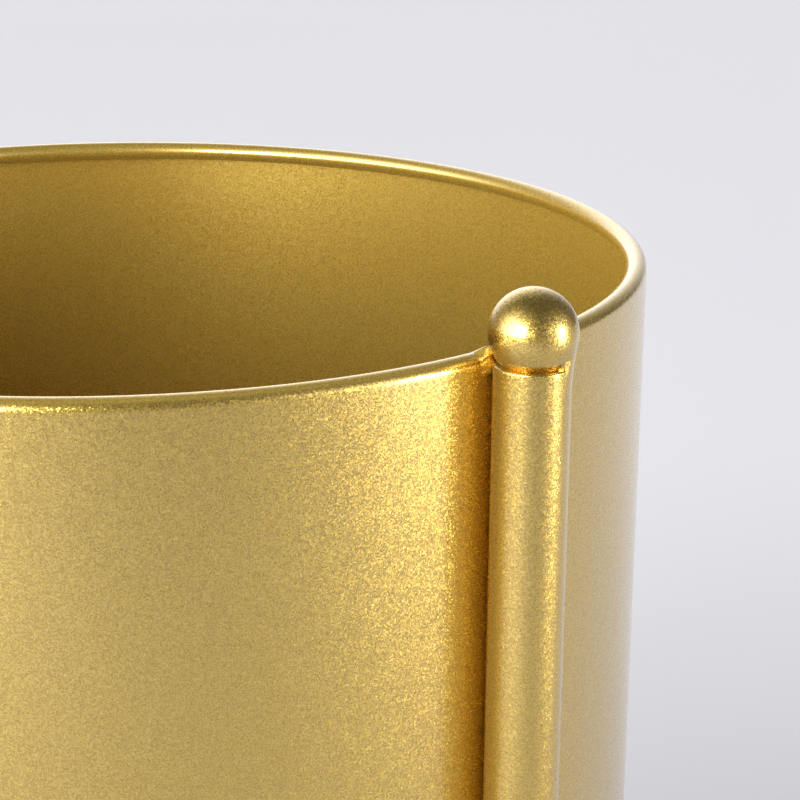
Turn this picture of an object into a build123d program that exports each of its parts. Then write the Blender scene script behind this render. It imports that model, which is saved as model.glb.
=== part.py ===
from build123d import *
import os
from math import cos, radians, sin, sqrt

# Cylindrical sheet steel planter pot, carried between two tube uprights that stand on a ring of tube.
# The ring is two half rings, butted together midway between the uprights.
# A solid ball closes the top of each upright, and a rubber plug closes the drain hole.
# Millimetres, +Z up. The origin is on the floor at the centre of the ring, and the uprights are on the X axis.

# ---------------------------------------------------------------- driving dimensions
# Pot
pot_r = 104.0            # outside of the wall
pot_height = 180.0       # wall's lower edge to the top of the rim
pot_lift = 95.0          # floor to the wall's lower edge
sheet = 0.8              # steel sheet of the wall and the base
bead_r = 2.0             # outside of the rim's roll
bead_turn = 290.0        # how far the rim is rolled in, degrees

# Base, a pressed disc with its skirt turned down inside the wall
base_rise = 9.0          # wall's lower edge to the top of the base
base_inset = 1.5         # wall's lower edge to the skirt's edge
base_gap = 0.1           # skirt to the wall, all round
base_bend_r = 2.0        # outside of the bend between disc and skirt
drain_r = 7.0            # drain hole

# Drain plug
plug_fit = 0.05          # stem to the hole, and head to the base
plug_head_r = 11.0
plug_head = 1.8          # thickness at the head's edge
plug_crown = 1.2         # rise of the head from its edge to the knob
plug_stem = 6.0          # stem below the base
plug_taper = 0.8         # taken off the stem's radius at its tip
knob_r = 3.6
knob_neck_r = 2.2
knob_neck = 2.4          # head to the knob's underside

# Uprights
tube_r = 6.5
tube_wall = 1.2
tube_drop = 1.0          # top of the rim down to the tube's open end
ball_proud = 1.0         # ball's radius over the tube's

# Ring
ring_tube_r = 8.0
ring_wall = 1.2

# Foot pads, pushed into holes under the ring
pad_count = 4
pad_r = 6.0
pad_height = 2.5         # floor to the lowest line of the ring
pad_edge_r = 0.6
pad_hole_r = 2.5
pad_stem_gap = 0.1       # stem to its hole
pad_barb = 0.6           # how far the barb stands out past the hole
pad_barb_height = 2.2

# Welds
ball_blend_r = 50.0      # hollow blend from the ball to the tube
ball_weld_from = 3.0     # degrees round the tube, counted from its outer side
ball_weld_to = 150.0
groove_start = 1.2       # weld metal begins this far to the side of the line where tube and wall touch
groove_reach = 4.4       # and ends this far
rim_weld_drop = 3.5      # top of the rim down to the weld's lower end
rim_weld_rise = 1.3      # top of the rim up to the weld's peak on the ball
low_weld_length = 22.0
low_weld_lift = 10.0     # wall's lower edge up to the weld's lower end
ring_weld_r = 3.0        # fillet between upright and ring, at most twice the step between their radii
base_weld_leg = 1.6      # sealing weld round the inside of the base

# ---------------------------------------------------------------- sizes that follow
rim_z = pot_lift + pot_height
bead_z = rim_z - bead_r
wall_in_r = pot_r - sheet
base_z = pot_lift + base_rise
base_r = wall_in_r - base_gap
upright_x = pot_r + tube_r
bore_r = tube_r - tube_wall
ball_r = tube_r + ball_proud
tube_top = rim_z - tube_drop
ball_z = tube_top + sqrt(ball_r**2 - bore_r**2)      # the ball sits on the inner edge of the tube
ring_z = pad_height + ring_tube_r
ring_bore_r = ring_tube_r - ring_wall
joint_arc = 30.0         # stretch of the ring that an upright is fitted to, degrees


def turned(*lines):
    """The solid that an outline in radius and height makes when it turns once about Z."""
    return revolve(Plane.XZ * make_face(lines), axis=Axis.Z)


def pole(radius, low, high, x=0.0, y=0.0):
    """An upright round bar from one height to another."""
    bar = Cylinder(radius, high - low, align=(Align.CENTER, Align.CENTER, Align.MIN))
    return Pos(x, y, low) * bar


def ring_bar(radius, arc, start=0.0, bore=0.0):
    """A stretch of the ring, solid or with a bore, over an arc in degrees."""
    section = Circle(radius)
    if bore:
        section -= Circle(bore)
    bar = revolve(Plane.XZ * Pos(upright_x, ring_z) * section, axis=Axis.Z, revolution_arc=arc)
    return Rot(0, 0, start) * bar


# ---------------------------------------------------------------- pot
def make_pot_wall():
    """Straight wall with its top edge rolled inwards into a bead, flush with the outside."""
    centre = (pot_r - bead_r, bead_z)
    outside = CenterArc(centre, bead_r, 0, bead_turn)
    inside = CenterArc(centre, bead_r - sheet, 0, bead_turn)
    bead = turned(outside, inside, Line(outside @ 0, inside @ 0), Line(outside @ 1, inside @ 1))
    return bead + pole(pot_r, pot_lift, bead_z) - pole(wall_in_r, pot_lift, bead_z)


def make_pot_base(cup):
    """Disc with a skirt turned down round its edge, and the drain hole in the middle."""
    hollow = pole(base_r - sheet, pot_lift + base_inset, base_z - sheet)
    hollow = fillet(hollow.edges().sort_by(Axis.Z)[-1], base_bend_r - sheet)
    return cup - hollow - pole(drain_r, base_z - 2 * sheet, base_z + sheet)


def make_base_cup():
    """The outside of the base, filled solid."""
    cup = pole(base_r, pot_lift + base_inset, base_z)
    return fillet(cup.edges().sort_by(Axis.Z)[-1], base_bend_r)


def make_base_weld(cup):
    """Sealing fillet in the corner between the base and the wall."""
    root_z = base_z - base_bend_r
    corner = Polyline(
        (wall_in_r - base_weld_leg - base_bend_r, base_z),
        (wall_in_r, base_z + base_weld_leg),
        (wall_in_r, root_z),
        (base_r - base_bend_r, root_z),
        close=True,
    )
    return turned(*corner.edges()) - cup


def make_drain_plug():
    """Soft plug: tapered stem in the hole, domed head on the base, and a round knob to pull it by."""
    seat_z = base_z + plug_fit
    tip_z = base_z - sheet - plug_stem
    stem_r = drain_r - plug_fit
    edge_z = seat_z + plug_head
    crown_z = edge_z + plug_crown
    knob_z = crown_z + knob_neck
    knob_rise = sqrt(knob_r**2 - knob_neck_r**2)
    knob_centre = knob_z + knob_rise
    outline = [
        Polyline(
            (0, tip_z), (stem_r - plug_taper, tip_z), (stem_r, base_z - sheet), (stem_r, seat_z),
            (plug_head_r, seat_z), (plug_head_r, edge_z), (knob_neck_r, crown_z), (knob_neck_r, knob_z),
        ),
        ThreePointArc((knob_neck_r, knob_z), (knob_r, knob_centre), (0, knob_centre + knob_r)),
        Line((0, knob_centre + knob_r), (0, tip_z)),
    ]
    return turned(*[edge for line in outline for edge in line.edges()])


# ---------------------------------------------------------------- frame
def make_upright():
    """Tube at +X, open at the top, with its lower end shaped to sit on the ring."""
    tube = pole(tube_r, ring_z, tube_top, upright_x) - pole(bore_r, ring_z, tube_top, upright_x)
    return tube - ring_bar(ring_tube_r, joint_arc, -joint_arc / 2)


def make_ball():
    """Solid ball at +X, seated in the mouth of the tube."""
    return Pos(upright_x, 0, ball_z) * Sphere(ball_r)


def pad_places():
    """Where the foot pads go, evenly spaced and clear of the uprights."""
    turns = [radians(360.0 * (n + 0.5) / pad_count) for n in range(pad_count)]
    return [(upright_x * cos(turn), upright_x * sin(turn)) for turn in turns]


def make_half_ring():
    """Half of the ring on the +X side, with a hole underneath for each of its foot pads."""
    half = ring_bar(ring_tube_r, 180, -90, ring_bore_r)
    for x, y in pad_places():
        if x > 0:
            half -= pole(pad_hole_r, 0, ring_z, x, y)
    return half


def make_foot_pad(x, y):
    """Rubber button: a foot that fits the ring's underside, a stem through the hole and a barb above."""
    stem_r = pad_hole_r - pad_stem_gap
    barb_r = pad_hole_r + pad_barb
    barb_z = ring_z - sqrt(ring_bore_r**2 - barb_r**2) + pad_stem_gap
    foot = pole(pad_r, 0, ring_z, x, y)
    foot = fillet(foot.edges().sort_by(Axis.Z)[0], pad_edge_r)
    foot -= ring_bar(ring_tube_r, 180, -90 if x > 0 else 90)
    stem = pole(stem_r, pad_edge_r, barb_z + pad_barb_height, x, y)
    barb = Cone(barb_r, stem_r, pad_barb_height, align=(Align.CENTER, Align.CENTER, Align.MIN))
    return foot + stem + Pos(x, y, barb_z) * barb


# ---------------------------------------------------------------- welds
def make_ball_weld():
    """Weld smoothed into a hollow blend, which fills the groove under the ball on one side of the tube."""
    blend_drop = sqrt((ball_r + ball_blend_r) ** 2 - (tube_r + ball_blend_r) ** 2)
    share = ball_r / (ball_r + ball_blend_r)
    seat_drop = ball_z - tube_top
    on_ball = ((tube_r + ball_blend_r) * share, -blend_drop * share)
    on_tube = (tube_r, -blend_drop)
    seat = (bore_r, -seat_drop)
    outline = [
        TangentArc(on_tube, on_ball, tangent=(0, 1)),
        RadiusArc(on_ball, seat, ball_r, short_sagitta=True),
        Line(seat, (tube_r, -seat_drop)),
        Line((tube_r, -seat_drop), on_tube),
    ]
    weld = revolve(Plane.XZ * make_face(outline), axis=Axis.Z, revolution_arc=ball_weld_to - ball_weld_from)
    return Pos(upright_x, 0, ball_z) * Rot(0, 0, ball_weld_from) * weld


def groove_weld(outline, neighbours):
    """Weld metal of an outline in X and Z, on both sides of the line where the tube touches the wall."""
    strip = extrude(Plane.XZ * make_face(outline.edges()), groove_reach - groove_start)
    strip = Pos(0, -groove_start, 0) * strip
    welds = [strip, mirror(strip, about=Plane.XZ)]
    for solid in neighbours:
        welds = [weld - solid for weld in welds]
    return Compound(children=[max(weld.solids(), key=lambda s: s.volume) for weld in welds])


def make_rim_weld(wall, ball, ball_weld):
    """Short weld at the rim, which runs up from the groove to a small peak against the ball."""
    low_z = rim_z - rim_weld_drop
    peak_z = rim_z + rim_weld_rise
    outline = Polyline(
        (wall_in_r, low_z), (wall_in_r, bead_z), (pot_r - bead_r + groove_start / 2, rim_z),
        (pot_r + bead_r, peak_z), (upright_x, peak_z), (upright_x, low_z), close=True,
    )
    post = pole(tube_r, low_z - 1, tube_top, upright_x)
    return groove_weld(outline, [wall, pole(wall_in_r, pot_lift, bead_z), post, ball, ball_weld])


def make_low_weld():
    """Weld in the groove between tube and wall, near the bottom of the pot."""
    low_z = pot_lift + low_weld_lift
    high_z = low_z + low_weld_length
    outline = Polyline(
        (wall_in_r, low_z), (wall_in_r, high_z), (upright_x, high_z), (upright_x, low_z), close=True
    )
    return groove_weld(outline, [pole(pot_r, pot_lift, rim_z), pole(tube_r, pot_lift, tube_top, upright_x)])


def make_ring_weld():
    """Hollow fillet all round the foot of the upright, where it sits on the ring."""
    stretch = ring_bar(ring_tube_r, joint_arc, -joint_arc / 2)
    joined = stretch + pole(tube_r, ring_z, ring_z + 3 * ring_tube_r, upright_x)
    saddle = [edge for edge in joined.edges() if is_saddle(edge)]
    return fillet(saddle, min(ring_weld_r, 2 * (ring_tube_r - tube_r))) - joined


def is_saddle(edge):
    """Whether an edge is part of the line where the upright meets the ring."""
    spots = [edge @ t for t in (0.25, 0.5, 0.75)]
    return all(
        abs(sqrt((p.X - upright_x) ** 2 + p.Y**2) - tube_r) < 0.01
        and abs(sqrt((sqrt(p.X**2 + p.Y**2) - upright_x) ** 2 + (p.Z - ring_z) ** 2) - ring_tube_r) < 0.01
        for p in spots
    )


# ---------------------------------------------------------------- assembly
def make_nodes():
    """Every piece of the planter by name. The left side is the right side turned half round."""
    wall = make_pot_wall()
    cup = make_base_cup()
    ball = make_ball()
    ball_weld = make_ball_weld()
    nodes = {
        "pot_wall": wall,
        "pot_base": make_pot_base(cup),
        "base_weld": make_base_weld(cup),
        "drain_plug": make_drain_plug(),
    }
    side_pieces = {
        "half_ring": make_half_ring(),
        "upright": make_upright(),
        "ball": ball,
        "ball_weld": ball_weld,
        "rim_weld": make_rim_weld(wall, ball, ball_weld),
        "low_weld": make_low_weld(),
        "ring_weld": make_ring_weld(),
    }
    for name, piece in side_pieces.items():
        nodes[f"{name}_right"] = piece
        nodes[f"{name}_left"] = Rot(0, 0, 180) * piece
    for number, (x, y) in enumerate(pad_places(), start=1):
        nodes[f"foot_pad_{number}"] = make_foot_pad(x, y)
    return nodes


os.makedirs("parts", exist_ok=True)
for node_name, solid in make_nodes().items():
    export_step(solid, f"parts/{node_name}.step")
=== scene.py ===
"""Dresses the planter pot: smooth sheet, tube, balls and welds under gold flake paint, on rubber feet."""

import logging
from collections.abc import Callable
from dataclasses import dataclass
from enum import Enum
from math import atan2, cos, hypot, pi, radians, sin, sqrt, tanh
from typing import Any

import bmesh
import bpy
from mathutils import Matrix, Vector


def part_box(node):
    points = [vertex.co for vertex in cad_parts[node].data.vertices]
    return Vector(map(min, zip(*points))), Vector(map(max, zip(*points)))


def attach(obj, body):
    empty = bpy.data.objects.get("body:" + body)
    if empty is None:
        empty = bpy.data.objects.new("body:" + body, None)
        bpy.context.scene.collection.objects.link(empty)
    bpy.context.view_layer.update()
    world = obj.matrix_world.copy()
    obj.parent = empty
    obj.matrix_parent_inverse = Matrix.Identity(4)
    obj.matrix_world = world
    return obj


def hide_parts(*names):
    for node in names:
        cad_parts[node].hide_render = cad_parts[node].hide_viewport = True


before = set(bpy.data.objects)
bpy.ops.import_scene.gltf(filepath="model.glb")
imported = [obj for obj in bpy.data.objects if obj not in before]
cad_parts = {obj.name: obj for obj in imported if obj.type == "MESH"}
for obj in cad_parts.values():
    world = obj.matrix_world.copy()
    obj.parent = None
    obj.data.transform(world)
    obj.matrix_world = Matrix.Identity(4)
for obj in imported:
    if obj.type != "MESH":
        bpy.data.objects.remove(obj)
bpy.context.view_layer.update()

LOG = logging.getLogger("planter_pot")
MM = 0.001
SAME_PLACE = 1e-7                    # vertices closer than this, in metres, are one
CALM_DEPTH = 0.7 * MM                # the calm paint starts this far in from the pot's outer face
PLANTER = "planter"
PLUG = "plug"


# ------------------------------------------------------------------------------------------ measures
def snapped(length: float, step: float = 0.1 * MM) -> float:
    """Rounds a length read from a faceted mesh to the size that it was drawn at.

    Args:
        length: A length in metres.
        step: The step that drawn sizes are in.

    Returns:
        The nearest whole number of steps.
    """
    return round(length / step) * step


def eased(share: float) -> float:
    """Eases a share from 0 to 1, level at both ends."""
    share = min(max(share, 0.0), 1.0)
    return share * share * (3 - 2 * share)


@dataclass(frozen=True)
class Layout:
    """Places and sizes that several pieces share, read from the frame, in metres."""

    pot_r: float
    pot_low: float
    rim: float
    base_top: float
    post_x: float
    post_top: float
    tube_r: float
    ball_r: float
    ball_mid: float
    ring_tube_r: float
    ring_mid: float
    pads: tuple[tuple[float, float], ...]

    @classmethod
    def from_frame(cls) -> "Layout":
        """Reads the layout from the nodes' boxes."""
        wall_low, wall_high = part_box("pot_wall")
        post_low, post_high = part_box("upright_right")
        ball_low, ball_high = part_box("ball_right")
        ring_low, ring_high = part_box("half_ring_right")
        pads = [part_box(f"foot_pad_{number}") for number in range(1, 5)]
        return cls(
            pot_r=snapped((wall_high.y - wall_low.y) / 2, 0.5 * MM),
            pot_low=snapped(wall_low.z),
            rim=snapped(wall_high.z),
            base_top=snapped(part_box("pot_base")[1].z),
            post_x=snapped((post_low.x + post_high.x) / 2, 0.5 * MM),
            post_top=snapped(post_high.z),
            tube_r=snapped((post_high.y - post_low.y) / 2, 0.5 * MM),
            ball_r=snapped((ball_high.z - ball_low.z) / 2, 0.5 * MM),
            ball_mid=(ball_high.z + ball_low.z) / 2,
            ring_tube_r=snapped((ring_high.z - ring_low.z) / 2, 0.5 * MM),
            ring_mid=snapped((ring_high.z + ring_low.z) / 2),
            pads=tuple(((low.x + high.x) / 2, (low.y + high.y) / 2) for low, high in pads),
        )

    def ring_rise(self, x: float, y: float) -> float:
        """How far the ring's surface lies above and below its middle, over a point on the floor."""
        off = min(abs(hypot(x, y) - self.post_x), self.ring_tube_r)
        return sqrt(self.ring_tube_r**2 - off**2)


class Side(Enum):
    """The two sides that carry an upright, each with the turn that takes +X there."""

    RIGHT = 0.0
    LEFT = pi

    @property
    def word(self) -> str:
        """The side's name as the nodes spell it."""
        return self.name.lower()


# ------------------------------------------------------------------------------------------ materials
def linear(hex_colour: str) -> tuple[float, float, float, float]:
    """Turns an sRGB hex colour into the linear colour that a shader takes.

    Args:
        hex_colour: A colour such as "#C9A227".

    Returns:
        Red, green, blue and an alpha of one.
    """
    channels = [int(hex_colour[i : i + 2], 16) / 255 for i in (1, 3, 5)]
    red, green, blue = [c / 12.92 if c <= 0.04045 else ((c + 0.055) / 1.055) ** 2.4 for c in channels]
    return red, green, blue, 1.0


def add_node(tree: bpy.types.NodeTree, kind: str, inputs: dict[Any, Any], **settings: Any) -> bpy.types.Node:
    """Adds a node, sets it up and links it.

    Args:
        tree: The node tree.
        kind: The node's type name.
        inputs: Its inputs by name or number, each a constant or another node's output socket.
        **settings: The node's own properties.

    Returns:
        The new node.
    """
    node = tree.nodes.new(kind)
    for name, value in settings.items():
        setattr(node, name, value)
    for key, value in inputs.items():
        if isinstance(value, bpy.types.NodeSocket):
            tree.links.new(value, node.inputs[key])
        else:
            node.inputs[key].default_value = value
    return node


def empty_material(name: str) -> bpy.types.Material:
    """Makes a material with an empty node tree."""
    material = bpy.data.materials.new(name)
    material.use_nodes = True
    material.node_tree.nodes.clear()
    return material


@dataclass(frozen=True)
class FlakePaint:
    """Sprayed gold paint on steel: metal flake in a satin clear binder.

    The flakes lie nearly flat in the film, each tilted its own way, so they sparkle beside a highlight and
    merge inside it. The binder over them gives a pale sheen at grazing angles.
    """

    name: str = "gold_flake_paint"
    flake_tone: str = "#DFC05C"      # flakes near the surface
    flake_shade: str = "#C39C36"     # flakes deeper in the binder
    flake_mm: float = 0.20           # real flake is under 0.05 mm, drawn this coarse so that it shows
    flake_tilt: float = 0.24
    calm_within: float = 0.0         # closer than this to the pot's axis the spray lands soft and even
    calm_tilt: float = 0.06
    calm_edge: float = 0.5 * MM
    calm_metal: float = 0.62         # the flakes there sink, and the tinted binder shows
    smooth_flake: float = 0.22       # roughness of the flakes that lie flattest
    rough_flake: float = 0.42        # and of those that crowd and curl
    clump_mm: float = 0.8            # the film dries in clumps of flake
    clump_depth_mm: float = 0.004
    binder_roughness: float = 0.16
    binder_ior: float = 1.8
    peel_mm: float = 1.6             # orange peel of the sprayed film
    peel_depth_mm: float = 0.003

    def build(self) -> bpy.types.Material:
        """Makes the paint's material."""
        material = empty_material(self.name)
        tree = material.node_tree
        place = add_node(tree, "ShaderNodeTexCoord", {}).outputs["Object"]
        surface = add_node(tree, "ShaderNodeNewGeometry", {}).outputs["Normal"]
        flakes = add_node(
            tree, "ShaderNodeTexVoronoi", {"Vector": place, "Scale": 1 / (self.flake_mm * MM)},
            voronoi_dimensions="3D", feature="F1",
        )
        centred = add_node(
            tree, "ShaderNodeVectorMath", {0: flakes.outputs["Color"], 1: (0.5, 0.5, 0.5)},
            operation="SUBTRACT",
        )
        flat = add_node(tree, "ShaderNodeVectorMath", {0: place, 1: (1.0, 1.0, 0.0)}, operation="MULTIPLY")
        away = add_node(tree, "ShaderNodeVectorMath", {0: flat.outputs[0]}, operation="LENGTH")
        reach = {0: away.outputs["Value"], 1: self.calm_within, 2: self.calm_within + self.calm_edge}
        lively = add_node(tree, "ShaderNodeMapRange", {**reach, 3: self.calm_tilt, 4: self.flake_tilt})
        metal = add_node(tree, "ShaderNodeMapRange", {**reach, 3: self.calm_metal, 4: 1.0})
        tilt = add_node(
            tree, "ShaderNodeVectorMath", {0: centred.outputs[0], "Scale": lively.outputs[0]},
            operation="SCALE",
        )
        leaning = add_node(tree, "ShaderNodeVectorMath", {0: surface, 1: tilt.outputs[0]}, operation="ADD")
        flake_normal = add_node(tree, "ShaderNodeVectorMath", {0: leaning.outputs[0]}, operation="NORMALIZE")
        clumps = add_node(
            tree, "ShaderNodeTexNoise",
            {"Vector": place, "Scale": 1 / (self.clump_mm * MM), "Detail": 2.0, "Roughness": 0.6},
        )
        clumped = add_node(
            tree, "ShaderNodeBump",
            {
                "Distance": self.clump_depth_mm * MM,
                "Height": clumps.outputs[0],
                "Normal": flake_normal.outputs[0],
            },
        )
        depth = add_node(tree, "ShaderNodeSeparateColor", {0: flakes.outputs["Color"]})
        tone = add_node(
            tree, "ShaderNodeMix",
            {0: depth.outputs[0], 6: linear(self.flake_tone), 7: linear(self.flake_shade)}, data_type="RGBA",
        )
        peel = add_node(
            tree, "ShaderNodeTexNoise", {"Vector": place, "Scale": 1 / (self.peel_mm * MM), "Detail": 1.0}
        )
        film = add_node(
            tree, "ShaderNodeBump", {"Distance": self.peel_depth_mm * MM, "Height": peel.outputs[0]}
        )
        curl = add_node(
            tree, "ShaderNodeMapRange", {0: depth.outputs[1], 3: self.smooth_flake, 4: self.rough_flake}
        )
        shader = add_node(
            tree, "ShaderNodeBsdfPrincipled",
            {
                "Base Color": tone.outputs[2],
                "Metallic": metal.outputs[0],
                "Roughness": curl.outputs[0],
                "Normal": clumped.outputs[0],
                "Coat Weight": 1.0,
                "Coat Roughness": self.binder_roughness,
                "Coat IOR": self.binder_ior,
                "Coat Normal": film.outputs[0],
            },
        )
        add_node(tree, "ShaderNodeOutputMaterial", {"Surface": shader.outputs[0]})
        return material


@dataclass(frozen=True)
class MouldedRubber:
    """Black rubber from a blasted steel mould: matt, with a fine even grain and a dusty bloom."""

    name: str = "black_moulded_rubber"
    tone: str = "#1B1B1C"
    bloom: str = "#302F2E"
    bloom_mm: float = 9.0
    grain_mm: float = 0.35
    grain_depth_mm: float = 0.02
    roughness: float = 0.72

    def build(self) -> bpy.types.Material:
        """Makes the rubber's material."""
        material = empty_material(self.name)
        tree = material.node_tree
        place = add_node(tree, "ShaderNodeTexCoord", {}).outputs["Object"]
        dust = add_node(
            tree, "ShaderNodeTexNoise", {"Vector": place, "Scale": 1 / (self.bloom_mm * MM), "Detail": 4.0}
        )
        tone = add_node(
            tree, "ShaderNodeMix",
            {0: dust.outputs[0], 6: linear(self.tone), 7: linear(self.bloom)}, data_type="RGBA",
        )
        grain = add_node(
            tree, "ShaderNodeTexNoise", {"Vector": place, "Scale": 1 / (self.grain_mm * MM), "Detail": 3.0}
        )
        bump = add_node(
            tree, "ShaderNodeBump", {"Distance": self.grain_depth_mm * MM, "Height": grain.outputs[0]}
        )
        shader = add_node(
            tree, "ShaderNodeBsdfPrincipled",
            {"Base Color": tone.outputs[2], "Roughness": self.roughness, "Normal": bump.outputs[0]},
        )
        add_node(tree, "ShaderNodeOutputMaterial", {"Surface": shader.outputs[0]})
        return material


@dataclass(frozen=True)
class StudioPaper:
    """Pale grey paper sweep: matt, with a faint cool cast, and a painted glow where it emits light behind
    the planter.
    """

    name: str = "studio_paper"
    tone: str = "#CECED4"
    shade: str = "#C9C9CF"
    painted_glow_tone: str = "#F0F0F5"
    cloud_mm: float = 400.0
    roughness: float = 0.9
    glow: float = 0.45               # painted glow: how strongly the paper itself emits light behind the planter
    painted_glow_from: float = -0.40         # metres behind the planter
    painted_glow_to: float = 0.70
    painted_glow_azimuth: float = 143.0

    def build(self) -> bpy.types.Material:
        """Makes the paper's material."""
        material = empty_material(self.name)
        tree = material.node_tree
        place = add_node(tree, "ShaderNodeTexCoord", {}).outputs["Object"]
        cloud = add_node(
            tree, "ShaderNodeTexNoise", {"Vector": place, "Scale": 1 / (self.cloud_mm * MM), "Detail": 1.0}
        )
        tone = add_node(
            tree, "ShaderNodeMix",
            {0: cloud.outputs[0], 6: linear(self.tone), 7: linear(self.shade)}, data_type="RGBA",
        )
        # painted glow: the paper emits light of its own, rising smoothly with distance behind the planter
        turn = radians(self.painted_glow_azimuth)
        behind = add_node(
            tree, "ShaderNodeVectorMath", {0: place, 1: (cos(turn), sin(turn), 0.0)}, operation="DOT_PRODUCT"
        )
        lit = add_node(
            tree, "ShaderNodeMapRange",
            {0: behind.outputs["Value"], 1: self.painted_glow_from, 2: self.painted_glow_to, 4: self.glow},
            interpolation_type="SMOOTHSTEP",
        )
        shader = add_node(
            tree, "ShaderNodeBsdfPrincipled",
            {
                "Base Color": tone.outputs[2],
                "Roughness": self.roughness,
                "Specular IOR Level": 0.2,
                "Emission Color": linear(self.painted_glow_tone),
                "Emission Strength": lit.outputs[0],
            },
        )
        add_node(tree, "ShaderNodeOutputMaterial", {"Surface": shader.outputs[0]})
        return material


# ------------------------------------------------------------------------------------------ mesh tools
class Lathe:
    """Draws a section in radius and height and turns it about Z."""

    def __init__(self, radius: float, height: float) -> None:
        """Starts the section at a point."""
        self.bm = bmesh.new()
        self.first = bmesh.ops.create_vert(self.bm, co=(radius, 0.0, height))["vert"][0]
        self.last = self.first

    def line(self, radius: float, height: float, hold: float = 0.0, steps: int = 1) -> "Lathe":
        """Draws a straight line to a point.

        Args:
            radius: The point's radius.
            height: The point's height.
            hold: How far from each end a holding vertex keeps the shading of a long line straight.
            steps: How many edges a line without holding vertices has.

        Returns:
            The lathe, so that calls chain.
        """
        start, end = self.last.co.copy(), Vector((radius, 0.0, height))
        span = (end - start).length
        stops = [hold / span, 1 - hold / span, 1.0] if hold else [n / steps for n in range(1, steps + 1)]
        for stop in stops:
            made = bmesh.ops.create_vert(self.bm, co=start.lerp(end, stop))["vert"][0]
            bmesh.ops.contextual_create(self.bm, geom=[self.last, made])
            self.last = made
        return self

    def arc(self, radius: float, height: float, degrees: float, steps: int) -> "Lathe":
        """Draws an arc about a centre.

        Args:
            radius: The centre's radius.
            height: The centre's height.
            degrees: How far it turns, positive from outwards to upwards.
            steps: How many edges it has.

        Returns:
            The lathe, so that calls chain.
        """
        made = bmesh.ops.spin(
            self.bm, geom=[self.last], cent=(radius, 0.0, height), axis=(0.0, -1.0, 0.0),
            angle=radians(degrees), steps=steps,
        )
        self.last = next(g for g in made["geom_last"] if isinstance(g, bmesh.types.BMVert))
        return self

    def turned(self, steps: int) -> bmesh.types.BMesh:
        """Turns the section once about Z, joining its last point to its first unless both are on the axis.

        Args:
            steps: How many faces it makes round the axis.

        Returns:
            The closed mesh, with its faces outwards.
        """
        bm = self.bm
        if max(self.first.co.x, self.last.co.x) > 0:
            bmesh.ops.contextual_create(bm, geom=[self.last, self.first])
        bmesh.ops.remove_doubles(bm, verts=bm.verts, dist=SAME_PLACE)
        bmesh.ops.spin(
            bm, geom=bm.verts[:] + bm.edges[:], cent=(0, 0, 0), axis=(0, 0, 1),
            angle=2 * pi, steps=steps, use_merge=True,
        )
        bmesh.ops.remove_doubles(bm, verts=bm.verts, dist=SAME_PLACE)
        bmesh.ops.delete(bm, geom=[edge for edge in bm.edges if edge.is_wire], context="EDGES")
        bmesh.ops.recalc_face_normals(bm, faces=bm.faces)
        return bm


def softened(
    bm: bmesh.types.BMesh, radius: float, segments: int = 3, sharp: float = 30.0
) -> bmesh.types.BMesh:
    """Rounds every edge that turns by more than an angle in degrees."""
    edges = [e for e in bm.edges if e.is_manifold and e.calc_face_angle() > radians(sharp)]
    bmesh.ops.bevel(
        bm, geom=edges, offset=radius, segments=segments, profile=0.5, affect="EDGES", material=-1
    )
    return bm


def formed_skin(
    across: int, along: int, thickness: float, shape: Callable[[float, float], Vector]
) -> bmesh.types.BMesh:
    """Bends a grid to a formula and gives it a thickness.

    Args:
        across: How many faces it has in its first direction.
        along: How many faces it has in its second direction.
        thickness: The skin's thickness, positive behind the side that first crossed with second faces.
        shape: Gives the place for two shares from 0 to 1.

    Returns:
        The closed mesh, with its faces outwards.
    """
    bm = bmesh.new()
    grid = bmesh.ops.create_grid(bm, x_segments=across, y_segments=along, size=0.5)["verts"]
    for vert in grid:
        vert.co = shape(vert.co.x + 0.5, vert.co.y + 0.5)
    bmesh.ops.remove_doubles(bm, verts=bm.verts, dist=SAME_PLACE)
    bmesh.ops.solidify(bm, geom=bm.faces[:], thickness=thickness)
    bmesh.ops.recalc_face_normals(bm, faces=bm.faces)
    return bm


def moved(bm: bmesh.types.BMesh, shift: Vector = Vector(), turn: float = 0.0) -> bmesh.types.BMesh:
    """Shifts a mesh and then turns it about the pot's axis."""
    bmesh.ops.transform(bm, matrix=Matrix.Rotation(turn, 4, "Z") @ Matrix.Translation(shift), verts=bm.verts)
    return bm


@dataclass(frozen=True)
class Piece:
    """A piece's name, the CAD node it stands for, its finish slot and the body it rides on."""

    name: str
    node: str
    slot: str = "gold_paint"
    body: str = PLANTER
    crease: float = 40.0

    def finish(self, bm: bmesh.types.BMesh, material: bpy.types.Material) -> bpy.types.Object:
        """Turns a mesh into the piece's object, which takes the place of its node.

        Args:
            bm: The mesh, which is freed.
            material: What it is made of.

        Returns:
            The object.
        """
        mesh = bpy.data.meshes.new(self.name)
        bm.to_mesh(mesh)
        bm.free()
        mesh.shade_smooth()
        mesh.set_sharp_from_angle(angle=radians(self.crease))
        mesh.materials.append(material)
        piece = bpy.data.objects.new(self.name, mesh)
        bpy.context.scene.collection.objects.link(piece)
        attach(piece, self.body)
        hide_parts(self.node)
        LOG.info("%s: %d faces, for node %s", self.name, len(mesh.polygons), self.node)
        return piece


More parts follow.
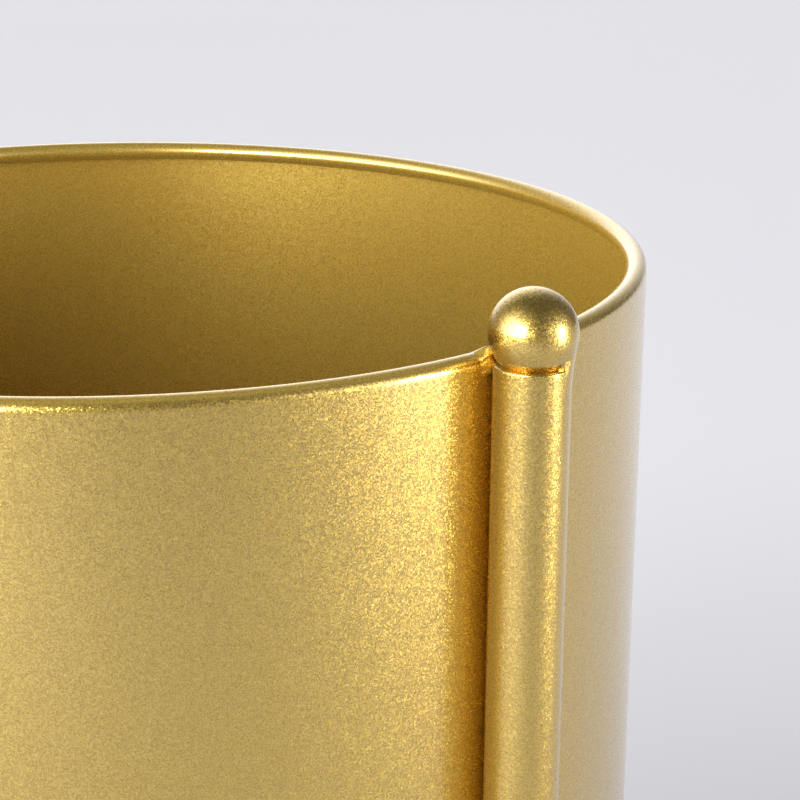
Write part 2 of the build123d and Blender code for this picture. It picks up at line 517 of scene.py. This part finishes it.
# ------------------------------------------------------------------------------------------ the pot
@dataclass(frozen=True)
class Pot:
    """The rolled wall, the pressed base and the weld that seals them."""

    layout: Layout
    paint: bpy.types.Material
    sheet: float = 0.8 * MM
    bead_r: float = 2.0 * MM
    bead_turn: float = 290.0
    bead_steps: int = 48
    edge_r: float = 0.2 * MM         # paint rounds the cut edges
    base_gap: float = 0.1 * MM
    base_bend_r: float = 2.0 * MM
    base_inset: float = 1.5 * MM
    drain_r: float = 7.0 * MM
    weld_leg: float = 1.6 * MM
    weld_ripple: float = 0.06 * MM
    weld_pitch: float = 1.7 * MM
    weld_skin: float = 0.2 * MM
    weld_proud: float = 0.02 * MM
    faces_per_ripple: int = 5
    turns: int = 288
    hold: float = 0.6 * MM

    def build(self) -> None:
        """Builds the pot's three pieces."""
        Piece("pot_wall_shell", "pot_wall").finish(self.wall(), self.paint)
        Piece("pot_base_disc", "pot_base").finish(self.base(), self.paint)
        Piece("base_seal_weld", "base_weld").finish(self.weld(), self.paint)

    def wall(self) -> bmesh.types.BMesh:
        """Makes the wall, with its top rolled in."""
        outer, inner = self.layout.pot_r, self.layout.pot_r - self.sheet
        low, bead_z = self.layout.pot_low, self.layout.rim - self.bead_r
        bead_x, inside, end = outer - self.bead_r, self.bead_r - self.sheet, radians(self.bead_turn)
        lathe = Lathe(outer, low).line(outer, bead_z, self.hold)
        lathe.arc(bead_x, bead_z, self.bead_turn, self.bead_steps)
        lathe.line(bead_x + inside * cos(end), bead_z + inside * sin(end))
        lathe.arc(bead_x, bead_z, -self.bead_turn, self.bead_steps)
        lathe.line(inner, low, self.hold)
        return softened(lathe.turned(self.turns), self.edge_r)

    def base(self) -> bmesh.types.BMesh:
        """Makes the base, a disc with a drain hole and a skirt turned down."""
        outer = self.layout.pot_r - self.sheet - self.base_gap
        inner = outer - self.sheet
        top, low, bend = self.layout.base_top, self.layout.pot_low + self.base_inset, self.base_bend_r
        lathe = Lathe(self.drain_r, top)
        lathe.line(outer - bend, top, self.hold).arc(outer - bend, top - bend, -90, 10)
        lathe.line(outer, low, self.hold).line(inner, low).line(inner, top - bend, self.hold)
        lathe.arc(outer - bend, top - bend, 90, 10)
        lathe.line(self.drain_r, top - self.sheet, self.hold)
        return softened(lathe.turned(self.turns), self.edge_r)

    def weld(self) -> bmesh.types.BMesh:
        """Makes the sealing weld in the corner of base and wall, rippled along its run."""
        wall_r, top, leg = self.layout.pot_r - self.sheet, self.layout.base_top, self.weld_leg
        ripples = round(2 * pi * wall_r / self.weld_pitch)
        reach = leg + self.base_bend_r

        def face(run: float, share: float) -> Vector:
            """The weld's hollow face, from the wall down to the base."""
            swell = self.weld_ripple * sin(2 * pi * ripples * run + 2 * share) * sin(pi * share)
            radius = wall_r - reach * share**2 + swell
            height = top + leg * (1 - share) ** 2 + self.weld_proud - swell
            turn = 2 * pi * run
            return Vector((radius * cos(turn), radius * sin(turn), height))

        return formed_skin(self.faces_per_ripple * ripples, 8, self.weld_skin, face)


@dataclass(frozen=True)
class DrainPlug:
    """The soft plug in the drain hole, with a domed head and a round knob."""

    layout: Layout
    rubber: bpy.types.Material
    sheet: float = 0.8 * MM
    hole_r: float = 7.0 * MM
    fit: float = 0.05 * MM
    head_r: float = 11.0 * MM
    head: float = 1.8 * MM
    crown: float = 1.2 * MM
    stem: float = 6.0 * MM
    taper: float = 0.8 * MM
    knob_r: float = 3.6 * MM
    neck_r: float = 2.2 * MM
    neck: float = 2.4 * MM
    round_r: float = 0.4 * MM
    turns: int = 96

    def build(self) -> None:
        """Builds the plug."""
        Piece("drain_plug_rubber", "drain_plug", "black_rubber", PLUG).finish(self.body(), self.rubber)

    def body(self) -> bmesh.types.BMesh:
        """Makes the plug as one turned moulding with rounded edges."""
        seat, under = self.layout.base_top + self.fit, self.layout.base_top - self.sheet
        stem_r, edge = self.hole_r - self.fit, seat + self.head
        crown, knob_turn = edge + self.crown, atan2(self.neck_r, sqrt(self.knob_r**2 - self.neck_r**2))
        knob_mid = crown + self.neck + self.knob_r * cos(knob_turn)
        lathe = Lathe(0, under - self.stem).line(stem_r - self.taper, under - self.stem)
        lathe.line(stem_r, under).line(stem_r, seat).line(self.head_r, seat).line(self.head_r, edge)
        lathe.line(self.neck_r, crown, steps=6).line(self.neck_r, crown + self.neck)
        lathe.arc(0, knob_mid, 180 - knob_turn * 180 / pi, 18)
        return softened(lathe.turned(self.turns), self.round_r)


# ------------------------------------------------------------------------------------------ the frame
@dataclass(frozen=True)
class Upright:
    """A tube from ring to rim, the ball seated in its mouth and the four welds that join them."""

    layout: Layout
    side: Side
    paint: bpy.types.Material
    tube_wall: float = 1.2 * MM
    lip_r: float = 0.35 * MM         # paint and a light deburr round the tube's mouth
    hold: float = 0.6 * MM
    turns: int = 128
    pot_bead_r: float = 2.0 * MM
    blend_r: float = 50.0 * MM
    blend_from: float = 3.0
    blend_to: float = 150.0
    blend_fill: float = 3.0          # degrees in which the weld fills the groove
    blend_swell: float = 14.0        # degrees in which it rises to its full blend
    blend_skin: float = 0.5 * MM
    sunk: float = 0.02 * MM          # a weld's edges lie this far under the metal they run out on
    bead_skin: float = 0.25 * MM
    rim_weld_width: float = 5.3 * MM
    rim_weld_flat: float = 2.0 * MM
    rim_weld_drop: float = 4.2 * MM
    rim_weld_over: float = 4.4 * MM
    rim_weld_foot: float = 1.2 * MM
    rim_weld_end: float = 1.8 * MM
    rim_weld_peak: float = 0.8 * MM  # the weld was drawn off upwards, which left a small tip each side
    turn_over: float = 0.25 * MM     # how soon the rim weld turns from the tube to the ball
    low_weld_length: float = 22.0 * MM
    low_weld_lift: float = 10.0 * MM
    low_weld_width: float = 4.7 * MM
    low_weld_edge: float = 0.6 * MM
    low_weld_end: float = 2.0 * MM
    low_weld_ripple: float = 0.12 * MM
    ripple_pitch: float = 1.5 * MM
    ring_weld_leg: float = 3.0 * MM
    ring_weld_rise: float = 0.8      # its height as a share of its leg
    ring_weld_hollow: float = 0.12   # how far its face bows out of the corner, as a share
    ring_weld_ripple: float = 0.07 * MM
    ring_weld_slant: float = 2.5     # how far the ripples lean, in radians from top to foot
    ring_weld_skin: float = 0.3 * MM
    ring_weld_edge: float = 0.985    # the ring's share that the weld may cover to each side

    def build(self) -> None:
        """Builds the upright's six pieces on its side of the pot."""
        made = {
            "upright": ("tube", self.tube()),
            "ball": ("finial", self.ball()),
            "ball_weld": ("blend", self.ball_weld()),
            "rim_weld": ("bead", self.rim_weld()),
            "low_weld": ("bead", self.low_weld()),
            "ring_weld": ("fillet", self.ring_weld()),
        }
        for node, (word, bm) in made.items():
            piece = Piece(f"{node}_{word}_{self.side.word}", f"{node}_{self.side.word}")
            piece.finish(moved(bm, turn=self.side.value), self.paint)

    @property
    def axis(self) -> Vector:
        """A point on the tube's axis, on the floor."""
        return Vector((self.layout.post_x, 0, 0))

    @property
    def ball_centre(self) -> Vector:
        """The ball's centre."""
        return Vector((self.layout.post_x, 0, self.layout.ball_mid))

    def tube(self) -> bmesh.types.BMesh:
        """Makes the tube, with a rounded mouth and its foot cut to sit on the ring."""
        outer, top, foot = self.layout.tube_r, self.layout.post_top, self.layout.ring_mid
        bore, lip = outer - self.tube_wall, self.lip_r
        lathe = Lathe(outer, foot).line(outer, top - lip, self.hold).arc(outer - lip, top - lip, 90, 6)
        lathe.line(bore, top).line(bore, foot, self.hold)
        bm = moved(lathe.turned(self.turns), self.axis)
        for vert in bm.verts:
            if vert.co.z < foot + 2 * self.hold:
                vert.co.z += self.layout.ring_rise(vert.co.x, vert.co.y)
        return bm

    def ball(self) -> bmesh.types.BMesh:
        """Makes the solid ball."""
        lathe = Lathe(0, -self.layout.ball_r).arc(0, 0, 180, 64)
        return moved(lathe.turned(self.turns), self.ball_centre)

    def ball_weld(self) -> bmesh.types.BMesh:
        """Makes the smoothed weld between ball and tube: it starts short, then swells to a hollow blend."""
        tube_r, ball_r, blend = self.layout.tube_r, self.layout.ball_r, self.blend_r
        drop = sqrt((ball_r + blend) ** 2 - (tube_r + blend) ** 2)
        mouth = self.layout.post_top - self.layout.ball_mid
        high = -drop * ball_r / (ball_r + blend)

        def face(run: float, share: float) -> Vector:
            """The weld's face round the tube and up it."""
            turn = self.blend_from + run * (self.blend_to - self.blend_from)
            height = -drop + (high + drop) * share
            full = tube_r + blend - sqrt(blend**2 - (height + drop) ** 2)
            on_ball = sqrt(ball_r**2 - height**2) if height > mouth else tube_r
            bare = on_ball - self.sunk
            start, end = turn - self.blend_from, self.blend_to - turn
            fill = eased(start / self.blend_fill) * eased(end / self.blend_fill)
            swell = eased((start - self.blend_fill / 2) / self.blend_swell) * eased(end / self.blend_swell)
            filled = bare + (max(bare, tube_r) - bare) * fill
            radius = filled + (full - filled) * swell
            angle = radians(turn)
            return Vector((radius * cos(angle), radius * sin(angle), height))

        return moved(formed_skin(96, 48, self.blend_skin, face), self.ball_centre)

    def nearest(self, spot: Vector) -> Vector:
        """The nearest place to a spot on the tube or the ball, with a soft turn from one to the other."""
        away = spot - self.ball_centre
        to_ball = self.ball_centre + away.normalized() * self.layout.ball_r
        flat = Vector((away.x, away.y, 0))
        to_tube = self.axis + flat.normalized() * self.layout.tube_r
        to_tube.z = min(spot.z, self.layout.post_top)
        gap_ball, gap_tube = (to_ball - spot).length, (to_tube - spot).length
        lean = (1 - tanh((gap_ball - gap_tube) / self.turn_over)) / 2
        return to_tube.lerp(to_ball, lean)

    def rim_weld(self) -> bmesh.types.BMesh:
        """Makes the weld over the pot's rim, drawn up to a small peak against the ball."""
        pot_r, bead, rim = self.layout.pot_r, self.pot_bead_r, self.layout.rim
        wide, flat = self.rim_weld_width, self.rim_weld_flat
        climb = self.rim_weld_drop - bead

        def face(run: float, share: float) -> Vector:
            """The weld's face across the rim and over it."""
            y = wide * (2 * run - 1)
            path = share * (climb + self.rim_weld_over)
            turn = max(path - climb, 0) / bead
            radius = pot_r - bead + bead * cos(turn) - self.sunk * cos(turn)
            height = rim - bead - max(climb - path, 0) + (bead - self.sunk) * sin(turn)
            angle = y / pot_r
            spot = Vector((radius * cos(angle), radius * sin(angle), height))
            pull = eased((wide - abs(y)) / (wide - flat))
            left = climb + self.rim_weld_over - path
            reach = eased(path / self.rim_weld_foot) * eased(left / self.rim_weld_end)
            rise = 4 * self.rim_weld_peak * pull * (1 - pull) * reach * eased((path - climb) / MM)
            return spot.lerp(self.nearest(spot), pull * reach) + Vector((0, 0, rise))

        return formed_skin(64, 40, self.bead_skin, face)

    def low_weld(self) -> bmesh.types.BMesh:
        """Makes the rippled weld in the groove of tube and wall, near the foot of the pot."""
        pot_r, wide = self.layout.pot_r, self.low_weld_width
        low = self.layout.pot_low + self.low_weld_lift

        def face(run: float, share: float) -> Vector:
            """The weld's face across the groove and up it."""
            y = wide * (2 * run - 1)
            up = share * self.low_weld_length
            angle, radius = y / pot_r, pot_r - self.sunk
            spot = Vector((radius * cos(angle), radius * sin(angle), low + up))
            ripple = self.low_weld_ripple * abs(sin(pi * up / self.ripple_pitch))
            pull = eased((wide - abs(y)) / (self.low_weld_edge + ripple))
            pull *= eased(min(up, self.low_weld_length - up) / self.low_weld_end)
            behind = sqrt(self.layout.tube_r**2 - y**2) - self.sunk
            return spot.lerp(Vector((self.layout.post_x - behind, y, low + up)), pull)

        return formed_skin(48, 96, self.bead_skin, face)

    def ring_weld(self) -> bmesh.types.BMesh:
        """Makes the rippled fillet weld all round the foot of the tube, where it sits on the ring."""
        tube_r, leg, ring = self.layout.tube_r, self.ring_weld_leg, self.layout.ring_tube_r
        ripples = round(2 * pi * (tube_r + leg / 2) / self.ripple_pitch)

        def face(run: float, share: float) -> Vector:
            """The weld's hollow face, from the tube down to the ring."""
            turn = -2 * pi * run
            out = Vector((cos(turn), sin(turn), 0))
            foot = min(leg, (ring * self.ring_weld_edge - tube_r) / max(abs(cos(turn)), 0.01))
            corner, low = self.axis + out * tube_r, self.axis + out * (tube_r + foot)
            corner.z = self.layout.ring_mid + self.layout.ring_rise(corner.x, corner.y)
            low.z = self.layout.ring_mid + self.layout.ring_rise(low.x, low.y) - self.sunk
            high = corner - self.sunk * out + Vector((0, 0, leg * self.ring_weld_rise))
            edge = corner.lerp(low, self.ring_weld_hollow)
            swell = self.ring_weld_ripple * sin(2 * pi * ripples * run + self.ring_weld_slant * share)
            swell *= sin(pi * share)
            curve = high * (1 - share) ** 2 + edge * 2 * share * (1 - share) + low * share**2
            return curve + (out + Vector((0, 0, 1))) * swell

        return formed_skin(8 * ripples, 12, self.ring_weld_skin, face)


@dataclass(frozen=True)
class Ring:
    """The ring that the planter stands on, in two halves, and its rubber pads."""

    layout: Layout
    paint: bpy.types.Material
    rubber: bpy.types.Material
    wall: float = 1.2 * MM
    seam_r: float = 0.25 * MM        # the butt joint is ground flush and shows as a hairline
    section_steps: int = 48
    turns: int = 120
    pad_r: float = 6.0 * MM
    pad_edge_r: float = 0.6 * MM
    stem_r: float = 2.4 * MM
    barb_r: float = 3.1 * MM
    barb_rise: float = 2.2 * MM
    stem_gap: float = 0.1 * MM
    dimple_r: float = 2.0 * MM
    dimple: float = 0.4 * MM

    def build(self) -> None:
        """Builds both halves of the ring and the pads."""
        for side in Side:
            piece = Piece(f"half_ring_tube_{side.word}", f"half_ring_{side.word}")
            piece.finish(moved(self.half(), turn=side.value), self.paint)
        for number, (x, y) in enumerate(self.layout.pads, start=1):
            piece = Piece(f"foot_pad_rubber_{number}", f"foot_pad_{number}", "black_rubber")
            piece.finish(self.pad(x, y), self.rubber)

    def half(self) -> bmesh.types.BMesh:
        """Makes half of the ring, open at its ends."""
        outer, mid = self.layout.ring_tube_r, self.layout.ring_mid
        bm = bmesh.new()
        for radius in (outer, outer - self.wall):
            bmesh.ops.create_circle(bm, segments=self.section_steps, radius=radius)
        bmesh.ops.rotate(bm, verts=bm.verts, cent=(0, 0, 0), matrix=Matrix.Rotation(pi / 2, 3, "X"))
        bmesh.ops.translate(bm, verts=bm.verts, vec=(self.layout.post_x, 0, mid))
        bmesh.ops.bridge_loops(bm, edges=bm.edges[:])
        bmesh.ops.rotate(bm, verts=bm.verts, cent=(0, 0, 0), matrix=Matrix.Rotation(-pi / 2, 3, "Z"))
        bmesh.ops.spin(
            bm, geom=bm.faces[:], cent=(0, 0, 0), axis=(0, 0, 1), angle=pi, steps=self.turns,
            use_duplicate=False,
        )
        bmesh.ops.recalc_face_normals(bm, faces=bm.faces)
        return softened(bm, self.seam_r)

    def pad(self, x: float, y: float) -> bmesh.types.BMesh:
        """Makes a pad, cut to fit the ring's underside, with the stem and barb that hold it."""
        mid, top = self.layout.ring_mid, 2 * self.dimple
        inner_r = self.layout.ring_tube_r - self.wall
        barb = mid - sqrt(inner_r**2 - self.barb_r**2) + self.stem_gap
        lathe = Lathe(0, self.dimple).line(self.dimple_r, self.dimple).line(self.dimple_r, 0)
        lathe.line(self.pad_r - self.pad_edge_r, 0).arc(self.pad_r - self.pad_edge_r, self.pad_edge_r, 90, 5)
        lathe.line(self.pad_r, top).line(self.stem_r, top, steps=8)
        lathe.line(self.stem_r, barb).line(self.barb_r, barb).line(self.stem_r, barb + self.barb_rise)
        lathe.line(0, barb + self.barb_rise)
        bm = moved(lathe.turned(64), Vector((x, y, 0)))
        for vert in bm.verts:
            if abs(vert.co.z - top) < 1e-6:
                vert.co.z = mid - self.layout.ring_rise(vert.co.x, vert.co.y)
        return bm


# ------------------------------------------------------------------------------------------ the studio
@dataclass(frozen=True)
class Softbox:
    """A softbox, by its direction and distance from the ball of the right upright."""

    name: str
    azimuth: float
    elevation: float
    distance: float
    width: float
    height: float
    power: float
    tone: str = "#FFFFFF"

    def build(self, subject: Vector) -> None:
        """Hangs the softbox, facing its subject."""
        turn, rise = radians(self.azimuth), radians(self.elevation)
        away = Vector((cos(turn) * cos(rise), sin(turn) * cos(rise), sin(rise)))
        lamp = bpy.data.lights.new(self.name, "AREA")
        lamp.shape, lamp.size, lamp.size_y = "RECTANGLE", self.width, self.height
        lamp.energy, lamp.color = self.power, linear(self.tone)[:3]
        holder = bpy.data.objects.new(self.name, lamp)
        holder.rotation_euler = away.to_track_quat("Z", "Y").to_euler()
        holder.location = subject + away * self.distance
        bpy.context.scene.collection.objects.link(holder)


@dataclass(frozen=True)
class RoomGlow:
    """A side of the room that shines: a window wall, or walls lit by the softboxes."""

    azimuth: float
    elevation: float
    spread: float                    # power of the cosine, higher is narrower
    strength: float

    def build(self, tree: bpy.types.NodeTree, way: bpy.types.NodeSocket) -> bpy.types.NodeSocket:
        """Adds the glow's nodes.

        Args:
            tree: The world's node tree.
            way: The direction looked in.

        Returns:
            The glow's strength in that direction.
        """
        turn, rise = radians(self.azimuth), radians(self.elevation)
        aim = (cos(turn) * cos(rise), sin(turn) * cos(rise), sin(rise))
        facing = add_node(tree, "ShaderNodeVectorMath", {0: way, 1: aim}, operation="DOT_PRODUCT")
        ahead = add_node(tree, "ShaderNodeMath", {0: facing.outputs["Value"], 1: 0.0}, operation="MAXIMUM")
        narrow = add_node(tree, "ShaderNodeMath", {0: ahead.outputs[0], 1: self.spread}, operation="POWER")
        return add_node(
            tree, "ShaderNodeMath", {0: narrow.outputs[0], 1: self.strength}, operation="MULTIPLY"
        ).outputs[0]


@dataclass(frozen=True)
class Studio:
    """Paper floor, a low softbox, two hot cores, a room that glows on three sides, and the camera."""

    layout: Layout
    softboxes: tuple[Softbox, ...] = (
        Softbox("key_core", -80.0, 15.0, 1.0, 0.45, 0.45, 8.0),
        Softbox("side_softbox", 27.0, -2.0, 1.1, 0.42, 0.60, 5.2),
        Softbox("side_core", 27.0, 11.0, 1.0, 0.22, 0.22, 1.1),
    )
    glows: tuple[RoomGlow, ...] = (
        RoomGlow(-104.0, 8.0, 8.0, 6.4),
        RoomGlow(146.0, 14.0, 7.0, 1.9),
        RoomGlow(22.0, 0.0, 8.0, 1.8),
    )
    room_base: float = 0.12
    floor_width: float = 14.0
    lens_mm: float = 100.47
    azimuth: float = -37.30          # where the camera stands about the pot, in degrees
    distance: float = 4.135          # in pot radii, along the floor
    height: float = 0.982            # in pot radii, above the rim
    pitch: float = 17.47
    yaw: float = 7.54                # to the right of the pot's axis
    roll: float = 0.53

    def build(self) -> None:
        """Builds the studio."""
        self.floor()
        self.room()
        subject = Vector((self.layout.post_x, 0, self.layout.ball_mid))
        for softbox in self.softboxes:
            softbox.build(subject)
        self.camera()
        bpy.context.scene.view_settings.view_transform = "Standard"

    def floor(self) -> None:
        """Lays the paper floor."""
        bm = bmesh.new()
        bmesh.ops.create_grid(bm, x_segments=8, y_segments=8, size=self.floor_width / 2)
        mesh = bpy.data.meshes.new("paper_floor")
        bm.to_mesh(mesh)
        bm.free()
        mesh.materials.append(StudioPaper().build())
        floor = bpy.data.objects.new("paper_floor", mesh)
        bpy.context.scene.collection.objects.link(floor)

    def room(self) -> None:
        """Surrounds the set with a room that glows on three sides and is dim overhead."""
        world = bpy.data.worlds.new("studio_room")
        world.use_nodes = True
        tree = world.node_tree
        tree.nodes.clear()
        way = add_node(tree, "ShaderNodeTexCoord", {}).outputs["Generated"]
        total = self.room_base
        for glow in self.glows:
            part = glow.build(tree, way)
            total = add_node(tree, "ShaderNodeMath", {0: total, 1: part}, operation="ADD").outputs[0]
        glow = add_node(tree, "ShaderNodeBackground", {0: linear("#FFFFFF"), 1: total})
        add_node(tree, "ShaderNodeOutputWorld", {0: glow.outputs[0]})
        bpy.context.scene.world = world

    def camera(self) -> None:
        """Stands the camera close to the pot, looking down on the rim past the right upright."""
        lens = bpy.data.cameras.new("camera")
        lens.lens, lens.sensor_width = self.lens_mm, 36.0
        lens.clip_start, lens.clip_end = 0.01, 50.0
        holder = bpy.data.objects.new("camera", lens)
        turn, pot_r = radians(self.azimuth), self.layout.pot_r
        place = Vector((cos(turn), sin(turn), 0)) * self.distance * pot_r
        place.z = self.layout.rim + self.height * pot_r
        heading = self.azimuth + 180 - self.yaw
        aim = (
            Matrix.Rotation(radians(heading - 90), 4, "Z")
            @ Matrix.Rotation(radians(90 - self.pitch), 4, "X")
            @ Matrix.Rotation(radians(self.roll), 4, "Z")
        )
        holder.matrix_world = Matrix.Translation(place) @ aim
        bpy.context.scene.collection.objects.link(holder)
        bpy.context.scene.camera = holder


def main() -> None:
    """Builds the planter and its studio."""
    logging.basicConfig(level=logging.INFO, format="%(message)s")
    layout = Layout.from_frame()
    paint, rubber = FlakePaint(calm_within=layout.pot_r - CALM_DEPTH).build(), MouldedRubber().build()
    Studio(layout).build()
    Pot(layout, paint).build()
    DrainPlug(layout, rubber).build()
    for side in Side:
        Upright(layout, side, paint).build()
    Ring(layout, paint, rubber).build()


if __name__ == "__main__":
    main()
